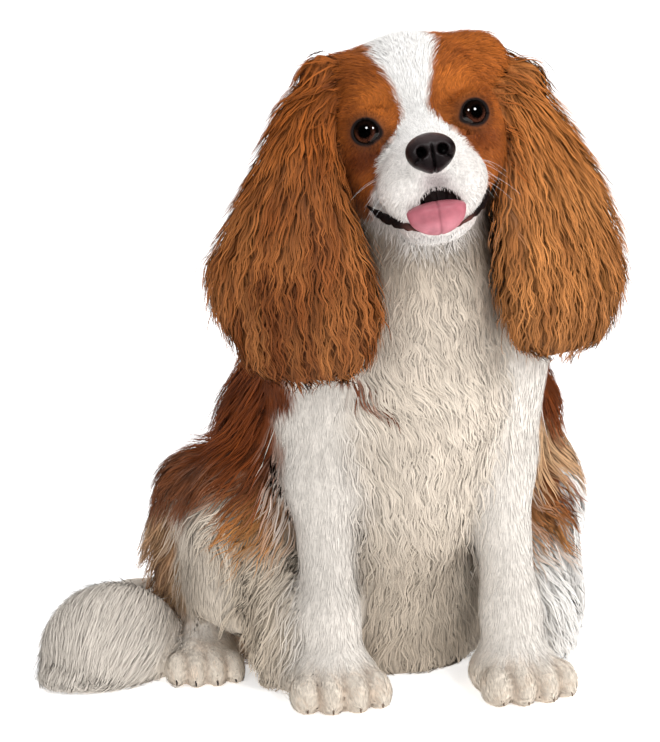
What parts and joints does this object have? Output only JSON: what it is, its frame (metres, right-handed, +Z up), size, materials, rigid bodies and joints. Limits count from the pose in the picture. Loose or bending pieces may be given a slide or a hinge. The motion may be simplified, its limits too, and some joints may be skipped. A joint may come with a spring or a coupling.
{
  "type": "sitting cavalier king charles spaniel figure",
  "caption": "Life-size long-coated chestnut and white spaniel sitting upright, head tilted, mouth open with the tongue shown.",
  "frame": {"origin": "on the floor under the seat, at the middle of the flat underside of the torso", "axes": "+Z up, the dog faces -Y, its left side is +X"},
  "size_m": [0.4023, 0.3303, 0.4227],
  "materials": {
    "chestnut_coat": "silky short to long fur",
    "ear_coat": "long wavy fur",
    "white_coat": "silky short to long fur",
    "lip_skin": "moist smooth skin",
    "nose_skin": "moist pebbled skin",
    "tongue_skin": "moist soft skin",
    "eye": "wet gloss"
  },
  "bodies": {
    "root": {"head": "chestnut_coat", "lower_jaw": "white_coat", "lips": "lip_skin", "nose": "nose_skin", "tongue": "tongue_skin", "eye_left": "eye", "eye_right": "eye", "ear_left": "ear_coat", "ear_right": "ear_coat", "neck": "white_coat", "chest": "white_coat", "torso": "chestnut_coat", "foreleg_left": "white_coat", "foreleg_right": "white_coat", "forepaw_left": "white_coat", "forepaw_right": "white_coat", "thigh_left": "chestnut_coat", "thigh_right": "chestnut_coat", "hindpaw_left": "white_coat", "hindpaw_right": "white_coat", "tail": "white_coat"}
  },
  "joints": []
}
